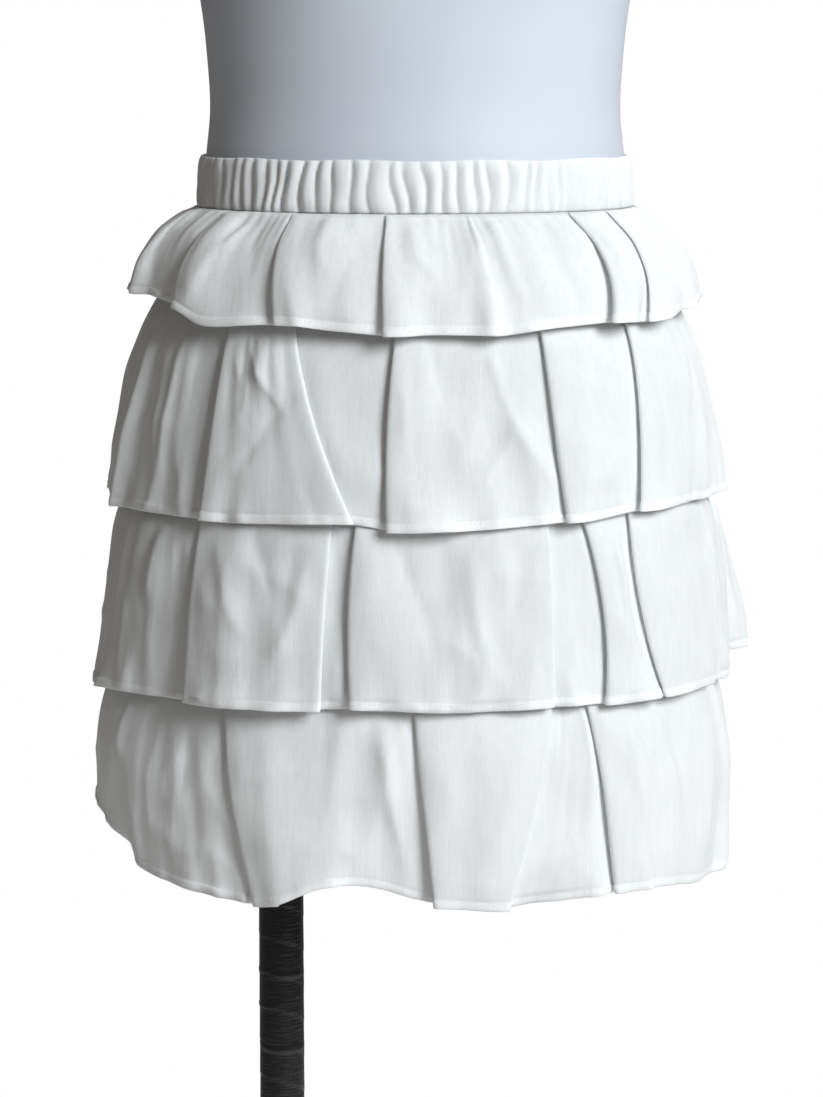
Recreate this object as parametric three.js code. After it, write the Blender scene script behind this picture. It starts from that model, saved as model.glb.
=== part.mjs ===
// A white tiered skort on a limbless dress form with an off-centre pole.
// Millimetres, +Z up. The front faces -Y, and the origin is on the floor under the middle of the form.
import * as THREE from "three";
import { mergeVertices } from "three/addons/utils/BufferGeometryUtils.js";

// ---- Driving dimensions ----
const WAIST_HEIGHT = 960; // top edge of the waistband above the floor
const BAND_HEIGHT = 28; // elasticated waistband
const CLOTH = 1; // thickness of one layer of cloth
const GAP = 0.3; // between two pieces at a seam or a seat
const FORM_BOTTOM = 258; // underside of the form below the waistband's top edge
const BASE_RADIUS = 190;
const BASE_THICKNESS = 8;
const POLE_RADIUS = 13; // a 25 mm tube with its tape
const POLE_OFFSET = -77; // the pole stands in line with the wearer's right leg
const SOCKET_RADIUS = 30;
const SOCKET_HEIGHT = 34;
const TUBE_SIDES = 32; // facets round the pole and its sockets
const BASE_SIDES = 64;

// How far each layer's middle lies outside the form's surface at the waist seam.
const SHORTS_CLEARANCE = 1.3;
const UNDERSKIRT_CLEARANCE = 2.9;
const TIER_CLEARANCE = 4.5;

// Depths below the waistband's top edge at which the shorts, underskirt and tiers are sewn on.
const BAND_SEAM = BAND_HEIGHT + GAP;
const TIER_SEAMS = [BAND_SEAM, 64, 165, 264];

// The form's sections. drop is the depth below the waistband's top edge, and is negative above it.
// width is half the width; front and back are how far the section reaches from the form's middle plane.
const FORM_SECTIONS = [
  { drop: FORM_BOTTOM, width: 138, front: 102, back: 102 },
  { drop: 252, width: 147, front: 111, back: 111 },
  { drop: 215, width: 152, front: 114.5, back: 114.5 },
  { drop: 165, width: 150.7, front: 112, back: 112 },
  { drop: 100, width: 141, front: 103.5, back: 103.5 },
  { drop: 64, width: 131, front: 95.5, back: 95.5 },
  { drop: BAND_SEAM, width: 118, front: 87, back: 87 },
  { drop: 0, width: 115.7, front: 85, back: 85 },
  { drop: -27, width: 113.3, front: 84, back: 82 },
  { drop: -60, width: 115.2, front: 86, back: 81 },
  { drop: -90, width: 119, front: 89, back: 81.5 },
  { drop: -125, width: 127, front: 93, back: 84 },
  { drop: -165, width: 136, front: 97, back: 89 },
  { drop: -200, width: 141.5, front: 97, back: 93 },
  { drop: -235, width: 144, front: 92, back: 95 },
  { drop: -270, width: 149, front: 84, back: 94 },
  { drop: -305, width: 157, front: 76, back: 90 },
  { drop: -335, width: 160, front: 69, back: 82 },
  { drop: -355, width: 148, front: 64, back: 74 },
  { drop: -372, width: 118, front: 59, back: 67 },
  { drop: -386, width: 84, front: 55, back: 61 },
  { drop: -400, width: 62, front: 51, back: 57 },
  { drop: -420, width: 54, front: 49, back: 54 },
  { drop: -450, width: 52, front: 49, back: 52 },
  { drop: -458, width: 48, front: 45, back: 48 },
];
const RING_SIDES = 32; // facets round the form, the shorts and the underskirt, which lie on each other
const BUST = { drop: -168, side: 66, reach: 30, spreadX: 46, spreadZ: 50 };

// The underskirt follows the form to its widest, then hangs free.
const UNDERSKIRT_DROPS = [BAND_SEAM, 64, 100, 165, 215];
const UNDERSKIRT_HEM = { drop: 264, width: 157, depth: 117.5 };

// The shorts follow the form, then close round each leg. split is 0 over the form and 1 round a leg.
const SHORTS_DROPS = [BAND_SEAM, 64, 100, 165, 215];
const SHORTS_LEGS = [
  { drop: 264, split: 0 },
  { drop: 284, split: 0.42 },
  { drop: 303, split: 1 },
  { drop: 345, split: 1 },
];
const SHORTS_SEAT = { width: 154.6, depth: 116.3 };
const LEG = { middle: 76, width: 72, depth: 98 };

// Each tier's own sections, from its seam to its hem. down runs from 0 at the seam to 1 at the hem.
const TIER_SECTIONS = [
  [
    { down: 0, width: 118 + TIER_CLEARANCE, depth: 87 + TIER_CLEARANCE },
    { down: 0.3, width: 143, depth: 108 },
    { down: 0.65, width: 155, depth: 116 },
    { down: 1, width: 160, depth: 119 },
  ],
  [
    { down: 0, width: 131 + TIER_CLEARANCE, depth: 95.5 + TIER_CLEARANCE },
    { down: 0.3, width: 155, depth: 112 },
    { down: 0.65, width: 166, depth: 120.5 },
    { down: 1, width: 172, depth: 126.5 },
  ],
  [
    { down: 0, width: 150.7 + TIER_CLEARANCE, depth: 112 + TIER_CLEARANCE },
    { down: 0.3, width: 168, depth: 122.5 },
    { down: 0.65, width: 175, depth: 127.5 },
    { down: 1, width: 178, depth: 130.5 },
  ],
  [
    { down: 0, width: 157 + 1.7, depth: 117.5 + 1.7 },
    { down: 0.25, width: 172, depth: 124.5 },
    { down: 0.6, width: 178, depth: 130 },
    { down: 1, width: 178, depth: 131.5 },
  ],
];
const TIER_HEMS = [86, 189, 288, 391]; // depth of each hem below the waistband's top edge
const SIDE_HEM_DROPS = [
  { left: -11, right: -8 },
  { left: -1, right: -4 },
  { left: 7, right: 1 },
  { left: -34, right: 10 },
];

// Folds, from the left side seam across the front, and from the right one across the back.
// top and hem are the fold's angles at the seam and the hem: 0 is the middle front, 90 the right side.
// width is how far the cloth laps under, or a ridge's half width; height is how far it stands out at the hem.
// bow moves the fold sideways halfway down, in degrees, and drop lowers the hem there.
// A lapRight has the cloth on its right on top, a lapLeft the cloth on its left. A crest is one soft edge.
const FRONT_FOLDS = [
  [
    { kind: "ridge", top: -72, hem: -68, bow: 0, width: 9, height: 9, drop: -13 },
    { kind: "lapRight", top: -54, hem: -52, bow: 0, width: 8, height: 7, drop: -8 },
    { kind: "crest", top: -46, hem: -45, bow: 0, width: 0, height: 8, drop: 2 },
    { kind: "lapRight", top: -31, hem: -27, bow: 0, width: 11, height: 6, drop: -1 },
    { kind: "lapRight", top: -7, hem: -6, bow: 0, width: 11, height: 7, drop: 4 },
    { kind: "crest", top: 3, hem: 2, bow: 0, width: 0, height: 1, drop: 3 },
    { kind: "ridge", top: 13, hem: 15, bow: 0, width: 10, height: 5, drop: 4 },
    { kind: "crest", top: 23, hem: 26, bow: 0, width: 0, height: 1, drop: 1 },
    { kind: "lapRight", top: 41, hem: 39, bow: 1, width: 12, height: 8, drop: -1 },
    { kind: "lapRight", top: 56, hem: 50, bow: 0, width: 8, height: 5, drop: 0 },
    { kind: "ridge", top: 76, hem: 70, bow: 0, width: 9, height: 5, drop: -5 },
  ],
  [
    { kind: "ridge", top: -63, hem: -70, bow: 0, width: 9, height: 9, drop: 1 },
    { kind: "lapRight", top: -41, hem: -41, bow: 1, width: 12, height: 6, drop: 1 },
    { kind: "lapLeft", top: -27, hem: -10.5, bow: -1, width: 10, height: 6, drop: -1 },
    { kind: "lapRight", top: -3, hem: -5, bow: -1, width: 12, height: 7, drop: 3 },
    { kind: "crest", top: 8, hem: 10, bow: 0, width: 0, height: 1, drop: 3 },
    { kind: "lapRight", top: 26, hem: 27, bow: -1, width: 10, height: 7, drop: 0 },
    { kind: "lapRight", top: 49, hem: 43, bow: 0, width: 9, height: 6, drop: -3 },
    { kind: "ridge", top: 76, hem: 68, bow: 0, width: 10, height: 4, drop: -4 },
  ],
  [
    { kind: "crest", top: -66, hem: -66, bow: 0, width: 0, height: 6, drop: 2 },
    { kind: "lapRight", top: -43, hem: -43, bow: 0, width: 11, height: 6, drop: 1 },
    { kind: "lapLeft", top: -15, hem: -16, bow: 0, width: 9, height: 6, drop: 0 },
    { kind: "lapRight", top: -10, hem: -11, bow: -1, width: 10, height: 7, drop: -2 },
    { kind: "crest", top: 4, hem: 6, bow: 0, width: 0, height: 2, drop: 0 },
    { kind: "lapLeft", top: 25, hem: 24, bow: 0, width: 9, height: 5, drop: -1 },
    { kind: "lapRight", top: 30, hem: 34, bow: 2, width: 9, height: 6, drop: 0 },
    { kind: "lapRight", top: 45, hem: 48, bow: -4, width: 9, height: 6, drop: 0 },
    { kind: "ridge", top: 72, hem: 74, bow: 0, width: 10, height: 4, drop: 0 },
  ],
  [
    { kind: "crest", top: -70, hem: -71, bow: 0, width: 0, height: 4, drop: -23 },
    { kind: "crest", top: -58, hem: -59, bow: 0, width: 0, height: 3, drop: -3 },
    { kind: "lapRight", top: -37, hem: -28, bow: -1, width: 12, height: 8, drop: 5 },
    { kind: "crest", top: -18, hem: -16, bow: 0, width: 0, height: 5, drop: -10 },
    { kind: "crest", top: -9, hem: -8, bow: 0, width: 0, height: 1, drop: -9 },
    { kind: "lapRight", top: -1, hem: 3, bow: 0, width: 9, height: 7, drop: 2 },
    { kind: "lapLeft", top: 27, hem: 16, bow: 0, width: 8, height: 7, drop: 5 },
    { kind: "lapRight", top: 31, hem: 36, bow: 0, width: 9, height: 7, drop: 1 },
    { kind: "crest", top: 45, hem: 48, bow: 0, width: 0, height: 7, drop: 1 },
    { kind: "crest", top: 59, hem: 62, bow: 0, width: 0, height: 2, drop: 8 },
    { kind: "ridge", top: 74, hem: 75, bow: 0, width: 10, height: 5, drop: 6 },
  ],
];
const BACK_FOLDS = [
  [
    { kind: "ridge", top: 106, hem: 109, bow: 0, width: 10, height: 7, drop: 1 },
    { kind: "lapRight", top: 127, hem: 130, bow: 0, width: 10, height: 6, drop: -2 },
    { kind: "lapLeft", top: 156, hem: 152, bow: 0, width: 9, height: 6, drop: 2 },
    { kind: "lapRight", top: 176, hem: 179, bow: 0, width: 11, height: 7, drop: 1 },
    { kind: "ridge", top: 201, hem: 199, bow: 0, width: 10, height: 5, drop: 4 },
    { kind: "lapLeft", top: 228, hem: 224, bow: 0, width: 10, height: 7, drop: 0 },
    { kind: "ridge", top: 250, hem: 252, bow: 0, width: 10, height: 8, drop: -9 },
  ],
  [
    { kind: "ridge", top: 110, hem: 107, bow: 0, width: 10, height: 5, drop: -2 },
    { kind: "lapLeft", top: 138, hem: 134, bow: 0, width: 11, height: 7, drop: 1 },
    { kind: "lapRight", top: 160, hem: 163, bow: -1, width: 10, height: 6, drop: 3 },
    { kind: "lapRight", top: 190, hem: 187, bow: 0, width: 12, height: 7, drop: 0 },
    { kind: "lapLeft", top: 219, hem: 223, bow: 1, width: 9, height: 6, drop: -1 },
    { kind: "ridge", top: 246, hem: 250, bow: 0, width: 11, height: 7, drop: 2 },
  ],
  [
    { kind: "ridge", top: 99, hem: 101, bow: 0, width: 16, height: 19, drop: -6 },
    { kind: "lapRight", top: 133, hem: 137, bow: 0, width: 10, height: 6, drop: 1 },
    { kind: "lapLeft", top: 168, hem: 165, bow: 1, width: 11, height: 7, drop: -2 },
    { kind: "lapRight", top: 196, hem: 201, bow: 0, width: 10, height: 7, drop: 2 },
    { kind: "lapLeft", top: 234, hem: 230, bow: 0, width: 10, height: 6, drop: 0 },
    { kind: "ridge", top: 254, hem: 251, bow: 0, width: 9, height: 6, drop: 3 },
  ],
  [
    { kind: "ridge", top: 108, hem: 104, bow: 0, width: 11, height: 5, drop: 4 },
    { kind: "lapLeft", top: 132, hem: 129, bow: 0, width: 10, height: 7, drop: -3 },
    { kind: "lapRight", top: 154, hem: 158, bow: 1, width: 11, height: 8, drop: 2 },
    { kind: "crest", top: 172, hem: 174, bow: 0, width: 0, height: 1, drop: -4 },
    { kind: "lapLeft", top: 205, hem: 200, bow: 0, width: 10, height: 7, drop: 3 },
    { kind: "lapRight", top: 226, hem: 230, bow: 0, width: 10, height: 7, drop: -8 },
    { kind: "crest", top: 250, hem: 252, bow: 0, width: 0, height: 4, drop: -30 },
  ],
];

// The corners of each kind of fold, in order round the ring.
// along counts widths from the fold's edge, and out counts heights.
const FOLD_STEPS = {
  lapRight: [
    { along: 0, out: 0 },
    { along: 1, out: 0 },
    { along: 1, out: 0.5 },
    { along: 0, out: 0.5 },
    { along: 0, out: 1 },
    { along: 1, out: 1 },
  ],
  lapLeft: [
    { along: -1, out: 1 },
    { along: 0, out: 1 },
    { along: 0, out: 0.5 },
    { along: -1, out: 0.5 },
    { along: -1, out: 0 },
    { along: 0, out: 0 },
  ],
  ridge: [
    { along: -1, out: 0 },
    { along: 0, out: 1 },
    { along: 1, out: 0 },
  ],
  crest: [{ along: 0, out: 1 }],
};
const SEAM_LAP = 3; // a lap's width at the seam, where the gathers are sewn flat
const SEAM_RISE = 3.4; // a lap's three layers at the seam
const PLAIN_STEP = 8; // widest facet between folds, in degrees
// How early down a strip its folds open: below 1 they open soon after the seam.
const LAP_OPENING = 0.7;
const RIDGE_OPENING = 0.8;

// The waistband's gathers: pairs of columns, in and out, over half the band.
const BAND_GATHERS = 26;
const BAND_CLEARANCE = 1.3;
const BAND_PUCKER = 2.6;

// ---- Materials ----
const cotton = new THREE.MeshStandardMaterial({ color: 0xf0f2f4, roughness: 0.85, metalness: 0 });
const shell = new THREE.MeshStandardMaterial({ color: 0xcfd2dc, roughness: 0.55, metalness: 0 });
const tape = new THREE.MeshStandardMaterial({ color: 0x121112, roughness: 0.25, metalness: 0 });
const steel = new THREE.MeshStandardMaterial({ color: 0x1b1b1d, roughness: 0.45, metalness: 0.6 });

const radians = THREE.MathUtils.degToRad;
const mix = THREE.MathUtils.lerp;

// A value of a table's column where its key column has the given value.
function valueAt(table, key, at, column) {
  const rising = table[0][key] < table[table.length - 1][key];
  const rows = rising ? table : [...table].reverse();
  const next = rows.findIndex((row, i) => i > 0 && at <= row[key]);
  const b = rows[next < 0 ? rows.length - 1 : next];
  const a = rows[(next < 0 ? rows.length - 1 : next) - 1];
  return mix(a[column], b[column], (at - a[key]) / (b[key] - a[key]));
}

// A point on an oval ring. angle is in degrees from the middle front, towards the right side.
function ringPoint(width, depth, angle, out, drop) {
  const a = radians(angle);
  return new THREE.Vector3(
    (width + out) * Math.sin(a),
    -(depth + out) * Math.cos(a),
    WAIST_HEIGHT - drop,
  );
}

// How many degrees of an oval ring a length takes at an angle.
function degreesOf(length, width, depth, angle) {
  const a = radians(angle);
  return THREE.MathUtils.radToDeg(length / Math.hypot(width * Math.cos(a), depth * Math.sin(a)));
}

// The outward direction at each point of a row, lengthened at corners so that the wall keeps its thickness.
function outwards(row) {
  const normals = row.slice(1).map((p, i) => {
    const d = new THREE.Vector2(p.x - row[i].x, p.y - row[i].y).normalize();
    return new THREE.Vector2(d.y, -d.x);
  });
  return row.map((_, i) => {
    const before = normals[Math.max(i - 1, 0)];
    const after = normals[Math.min(i, normals.length - 1)];
    return before.clone().add(after).divideScalar(1 + before.dot(after));
  });
}

// A closed wall of cloth through rows of points.
// Each row runs from one edge to the other, the outside on its right.
function clothWall(rows) {
  const count = rows[0].length;
  const positions = [];
  const index = [];
  const quad = (a, b, c, d) => index.push(a, b, c, a, c, d);
  for (const side of [0.5, -0.5])
    for (const row of rows) {
      const away = outwards(row);
      row.forEach((p, i) => {
        const shift = CLOTH * side;
        positions.push(p.x + away[i].x * shift, p.y + away[i].y * shift, p.z);
      });
    }
  const outer = (r, c) => r * count + c;
  const inner = (r, c) => (rows.length + r) * count + c;
  for (let r = 0; r + 1 < rows.length; r++) {
    for (let c = 0; c + 1 < count; c++) {
      quad(outer(r, c), outer(r + 1, c), outer(r + 1, c + 1), outer(r, c + 1));
      quad(inner(r, c + 1), inner(r + 1, c + 1), inner(r + 1, c), inner(r, c));
    }
    quad(inner(r, 0), inner(r + 1, 0), outer(r + 1, 0), outer(r, 0));
    const end = count - 1;
    quad(outer(r, end), outer(r + 1, end), inner(r + 1, end), inner(r, end));
  }
  const last = rows.length - 1;
  for (let c = 0; c + 1 < count; c++) {
    quad(inner(0, c), outer(0, c), outer(0, c + 1), inner(0, c + 1));
    quad(outer(last, c), inner(last, c), inner(last, c + 1), outer(last, c + 1));
  }
  const geometry = new THREE.BufferGeometry();
  geometry.setAttribute("position", new THREE.Float32BufferAttribute(positions, 3));
  geometry.setIndex(index);
  geometry.computeVertexNormals();
  return geometry;
}

// The columns of one gathered strip.
// Each holds its angle, how far it stands out, and its hem, down the strip.
function stripColumns(tier, folds, from, to, sideDrops) {
  const sections = TIER_SECTIONS[tier];
  const sizeAt = (down, column) => valueAt(sections, "down", down, column);
  const stops = [{ angle: () => from, out: () => 0, hemDrop: sideDrops[0] }];
  for (const fold of folds) {
    const edge = (down) => mix(fold.top, fold.hem, down) + fold.bow * 4 * down * (1 - down);
    const lapped = fold.kind !== "crest" && fold.kind !== "ridge";
    const reach = (down) => mix(SEAM_LAP, fold.width, down ** LAP_OPENING);
    const rise = (down) =>
      lapped ? mix(SEAM_RISE, fold.height, down) : fold.height * down ** RIDGE_OPENING;
    for (const { along, out } of FOLD_STEPS[fold.kind])
      stops.push({
        angle: (down) => {
          const at = edge(down);
          return at + along * degreesOf(reach(down), sizeAt(down, "width"), sizeAt(down, "depth"), at);
        },
        out: (down) => out * rise(down),
        hemDrop: fold.drop,
      });
  }
  stops.push({ angle: () => to, out: () => 0, hemDrop: sideDrops[1] });
  return withPlainSteps(stops);
}

// Adds evenly spaced columns wherever two neighbours lie further apart than a facet may.
function withPlainSteps(stops) {
  const columns = [stops[0]];
  for (let i = 1; i < stops.length; i++) {
    const a = stops[i - 1];
    const b = stops[i];
    const widest = Math.max(b.angle(0) - a.angle(0), b.angle(1) - a.angle(1));
    const pieces = Math.max(1, Math.ceil(widest / PLAIN_STEP));
    for (let k = 1; k < pieces; k++) {
      const share = k / pieces;
      columns.push({
        angle: (down) => mix(a.angle(down), b.angle(down), share),
        out: (down) => mix(a.out(down), b.out(down), share),
        hemDrop: mix(a.hemDrop, b.hemDrop, share),
      });
    }
    columns.push(b);
  }
  return columns;
}

// One gathered strip of a tier, the front half or the back half.
function tierStrip(tier, folds, from, to, sideDrops) {
  const columns = stripColumns(tier, folds, from, to, sideDrops);
  const rows = TIER_SECTIONS[tier].map(({ down, width, depth }) =>
    columns.map((column) => {
      const hem = TIER_HEMS[tier] + column.hemDrop;
      const drop = mix(TIER_SEAMS[tier], hem, down);
      return ringPoint(width, depth, column.angle(down), column.out(down), drop);
    }),
  );
  return clothWall(rows);
}

// Half of the waistband, gathered by its elastic.
function bandHalf(from, to) {
  const steps = 2 * BAND_GATHERS + 2;
  const rows = [0, BAND_HEIGHT].map((drop) => {
    const width = valueAt(FORM_SECTIONS, "drop", drop, "width") + BAND_CLEARANCE;
    const depth = valueAt(FORM_SECTIONS, "drop", drop, "front") + BAND_CLEARANCE;
    return Array.from({ length: steps + 1 }, (_, i) => {
      const stands = i % 2 === 0 && i > 0 && i < steps;
      return ringPoint(width, depth, mix(from, to, i / steps), stands ? BAND_PUCKER : 0, drop);
    });
  });
  return clothWall(rows);
}

// Evenly spaced points of the form's own facets, so that layers on the form keep their distance.
function facetAngles(from, to) {
  const first = Math.round(from / (360 / RING_SIDES));
  const sides = Math.round((to - from) / (360 / RING_SIDES));
  return Array.from({ length: sides + 1 }, (_, i) => {
    if (i === 0) return from;
    if (i === sides) return to;
    return ((first + i) * 360) / RING_SIDES;
  });
}

function formSection(drop) {
  const [width, front, back] = ["width", "front", "back"].map((column) =>
    valueAt(FORM_SECTIONS, "drop", drop, column),
  );
  return { drop, width, front, back };
}

// Half of the plain underskirt that carries the tiers.
function underskirtHalf(from, to) {
  const rows = UNDERSKIRT_DROPS.map((drop) => {
    const { width, front } = formSection(drop);
    return { drop, width: width + UNDERSKIRT_CLEARANCE, depth: front + UNDERSKIRT_CLEARANCE };
  });
  rows.push(UNDERSKIRT_HEM);
  const angles = facetAngles(from, to);
  return clothWall(
    rows.map(({ drop, width, depth }) => angles.map((angle) => ringPoint(width, depth, angle, 0, drop))),
  );
}

// One side of the shorts, from the middle front round the outside to the middle back, then round its leg.
function shortsSide(side) {
  const over = SHORTS_DROPS.map((drop) => {
    const { width, front } = formSection(drop);
    return { drop, split: 0, width: width + SHORTS_CLEARANCE, depth: front + SHORTS_CLEARANCE };
  });
  const legs = SHORTS_LEGS.map((row) => ({ ...row, ...SHORTS_SEAT }));
  const seam = GAP / 2;
  const angles = facetAngles(0, 180);
  const rows = [...over, ...legs].map(({ drop, split, width, depth }) =>
    angles.map((angle, i) => {
      const hip = ringPoint(width, depth, angle, 0, drop);
      const round = radians(2 * angle - 90);
      const leg = new THREE.Vector3(
        LEG.middle + LEG.width * Math.sin(round),
        -LEG.depth * Math.cos(round),
        hip.z,
      );
      const p = hip.lerp(leg, split);
      if (i === 0) p.set(Math.max(p.x, seam + CLOTH * split), Math.min(p.y, -seam), p.z);
      if (i === angles.length - 1) p.set(Math.max(p.x, seam + CLOTH * split), Math.max(p.y, seam), p.z);
      p.x *= side;
      return p;
    }),
  );
  if (side < 0) rows.forEach((row) => row.reverse());
  return clothWall(rows);
}

// The dress form: rings from the underside to the neck, closed by flat ends.
function formShell() {
  const positions = [];
  const index = [];
  for (const { drop, width, front, back } of FORM_SECTIONS)
    for (let i = 0; i < RING_SIDES; i++) {
      const angle = (i * 360) / RING_SIDES;
      const depth = Math.abs(angle - 180) > 90 ? front : back;
      const p = ringPoint(width, depth, angle, 0, drop);
      p.y -= bustReach(p, drop, angle);
      positions.push(p.x, p.y, p.z);
    }
  const rings = FORM_SECTIONS.length;
  const at = (ring, i) => ring * RING_SIDES + (i % RING_SIDES);
  for (let ring = 0; ring + 1 < rings; ring++)
    for (let i = 0; i < RING_SIDES; i++) {
      index.push(at(ring, i), at(ring, i + 1), at(ring + 1, i + 1));
      index.push(at(ring, i), at(ring + 1, i + 1), at(ring + 1, i));
    }
  for (let i = 1; i + 1 < RING_SIDES; i++) {
    index.push(at(0, 0), at(0, i + 1), at(0, i));
    index.push(at(rings - 1, 0), at(rings - 1, i), at(rings - 1, i + 1));
  }
  const geometry = new THREE.BufferGeometry();
  geometry.setAttribute("position", new THREE.Float32BufferAttribute(positions, 3));
  geometry.setIndex(index);
  geometry.computeVertexNormals();
  return geometry;
}

// How far the bust moves a point of the form's front forwards.
function bustReach(p, drop, angle) {
  if (Math.abs(angle - 180) <= 90) return 0;
  const across = (Math.abs(p.x) - BUST.side) / BUST.spreadX;
  const along = (drop - BUST.drop) / BUST.spreadZ;
  return BUST.reach * Math.exp(-(across ** 2) - along ** 2);
}

// A turned piece from its closed profile of [radius, height] pairs.
function turned(profile, segments) {
  const points = profile.map(([radius, height]) => new THREE.Vector2(radius, height));
  const geometry = new THREE.LatheGeometry(points, segments);
  geometry.rotateX(Math.PI / 2);
  geometry.deleteAttribute("normal");
  geometry.deleteAttribute("uv");
  const merged = mergeVertices(geometry, 1e-3);
  merged.computeVertexNormals();
  return merged;
}

function ringProfile(inside, outside, low, high, bevel) {
  return [
    [inside, low],
    [outside - bevel, low],
    [outside, low + bevel],
    [outside, high - bevel],
    [outside - bevel, high],
    [inside, high],
    [inside, low],
  ];
}

function named(name, geometry, material, x = 0, z = 0) {
  const mesh = new THREE.Mesh(geometry, material);
  mesh.name = name;
  mesh.position.set(x, 0, z);
  return mesh;
}

// ---- The skort ----
const skort = new THREE.Group();
const hip = TIER_SECTIONS[0][2];
const halfSeam = degreesOf(GAP / 2, hip.width, hip.depth, 90);
const frontSpan = [-90 + halfSeam, 90 - halfSeam];
const backSpan = [90 + halfSeam, 270 - halfSeam];
skort.add(named("waistband_front", bandHalf(...frontSpan), cotton));
skort.add(named("waistband_back", bandHalf(...backSpan), cotton));
TIER_HEMS.forEach((_, tier) => {
  const { left, right } = SIDE_HEM_DROPS[tier];
  const front = tierStrip(tier, FRONT_FOLDS[tier], ...frontSpan, [left, right]);
  const back = tierStrip(tier, BACK_FOLDS[tier], ...backSpan, [right, left]);
  skort.add(named(`tier_${tier + 1}_front`, front, cotton));
  skort.add(named(`tier_${tier + 1}_back`, back, cotton));
});
skort.add(named("underskirt_front", underskirtHalf(...frontSpan), cotton));
skort.add(named("underskirt_back", underskirtHalf(...backSpan), cotton));
skort.add(named("shorts_left", shortsSide(1), cotton));
skort.add(named("shorts_right", shortsSide(-1), cotton));

// ---- The dress form and its stand ----
const stand = new THREE.Group();
const formFloor = WAIST_HEIGHT - FORM_BOTTOM;
const poleFoot = BASE_THICKNESS + GAP;
const poleTop = formFloor - GAP;
const poleProfile = [
  [0, 0],
  [POLE_RADIUS, 0],
  [POLE_RADIUS, poleTop - poleFoot],
  [0, poleTop - poleFoot],
];
const baseProfile = [
  [0, 0],
  [BASE_RADIUS - 1, 0],
  [BASE_RADIUS, 1],
  [BASE_RADIUS, BASE_THICKNESS - 2],
  [BASE_RADIUS - 2, BASE_THICKNESS],
  [0, BASE_THICKNESS],
];
const socketProfile = ringProfile(POLE_RADIUS + GAP, SOCKET_RADIUS, 0, SOCKET_HEIGHT, 2);
stand.add(named("form", formShell(), shell));
const socket = turned(socketProfile, TUBE_SIDES);
stand.add(named("form_socket", socket, steel, POLE_OFFSET, poleTop - SOCKET_HEIGHT));
stand.add(named("pole", turned(poleProfile, TUBE_SIDES), tape, POLE_OFFSET, poleFoot));
stand.add(named("base_socket", socket, steel, POLE_OFFSET, poleFoot));
stand.add(named("base", turned(baseProfile, BASE_SIDES), steel));

const model = new THREE.Group();
model.add(skort, stand);
export default model;
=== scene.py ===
# Looks of a white tiered skort on a limbless dress form. Lengths in the tables are millimetres, angles are
# degrees round the body: 0 is the middle front, 90 the right-hand side of the view, 180 the middle back.
import math

import bpy
import numpy as np
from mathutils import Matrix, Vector

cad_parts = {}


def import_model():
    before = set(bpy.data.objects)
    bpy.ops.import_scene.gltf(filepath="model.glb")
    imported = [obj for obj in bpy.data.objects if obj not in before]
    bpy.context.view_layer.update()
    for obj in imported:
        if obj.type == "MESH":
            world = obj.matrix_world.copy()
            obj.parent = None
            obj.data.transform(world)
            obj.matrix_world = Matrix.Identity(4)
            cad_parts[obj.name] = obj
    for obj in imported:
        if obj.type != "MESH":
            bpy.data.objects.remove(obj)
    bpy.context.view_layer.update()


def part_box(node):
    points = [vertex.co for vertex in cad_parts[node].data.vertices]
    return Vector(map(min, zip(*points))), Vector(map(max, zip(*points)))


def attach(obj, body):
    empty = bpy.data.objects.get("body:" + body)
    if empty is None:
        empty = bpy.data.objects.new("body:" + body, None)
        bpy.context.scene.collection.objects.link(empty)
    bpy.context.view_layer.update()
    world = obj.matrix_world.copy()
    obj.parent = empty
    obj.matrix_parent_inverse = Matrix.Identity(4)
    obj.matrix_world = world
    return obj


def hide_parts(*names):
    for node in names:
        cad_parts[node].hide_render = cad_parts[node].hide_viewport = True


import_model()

MM = 0.001
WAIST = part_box("waistband_front")[1].z / MM  # height of the waistband's top edge
BAND_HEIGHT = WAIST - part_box("waistband_front")[0].z / MM
POLE_LOW, POLE_HIGH = (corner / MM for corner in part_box("pole"))
POLE_X = (POLE_LOW.x + POLE_HIGH.x) / 2
SEAM_GAP = 0.3
CLOTH = 0.4  # thickness of the cotton
HEM_THICKNESS = 1.1
HEM_DEPTH = 4.6  # the rolled hem, from its stitches to its edge
COLUMN = 1.75  # spacing of the cloth meshes' columns
ROW = 2.6  # spacing of their rows
END_COLUMNS = 12  # columns over which the crumples fade out towards a side seam
SEAM_RADIUS = 115  # turns a side seam's gap into an angle
BAND_SEAM = 28.3  # depth at which the hidden layers are sewn on
BAND_OUT = 1.1  # the waistband's clearance from the form
BAND_CUT = 375  # length of half the waistband, laid flat
BAND_RADIUS = 105
BAND_COLUMN = 0.9
BAND_ROWS = 26
TIER_RADIUS = 150  # turns a crease's angle into a length

# The form's sections: depth below the waist, half width, and reach to the front and back.
FORM = np.array([
    (258, 138, 102, 102), (252, 147, 111, 111), (215, 152, 114.5, 114.5), (165, 150.7, 112, 112),
    (100, 141, 103.5, 103.5), (64, 131, 95.5, 95.5), (28.3, 118, 87, 87), (0, 115.7, 85, 85),
    (-27, 113.3, 84, 82), (-60, 115.2, 86, 81), (-90, 119, 89, 81.5), (-125, 127, 93, 84),
    (-165, 136, 97, 89), (-200, 141.5, 97, 93), (-235, 144, 92, 95), (-270, 149, 84, 94),
    (-305, 157, 76, 90), (-335, 160, 69, 82), (-355, 148, 64, 74), (-372, 118, 59, 67),
    (-386, 84, 55, 61), (-400, 62, 51, 57), (-420, 54, 49, 54), (-450, 52, 49, 52), (-458, 48, 45, 48),
])
BUST = {"drop": -168, "side": 66, "reach": 30, "spread_x": 46, "spread_z": 50}
SHORTS_OUT = 1.3  # the middle of each layer, out from the form
UNDERSKIRT_OUT = 2.9
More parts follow.
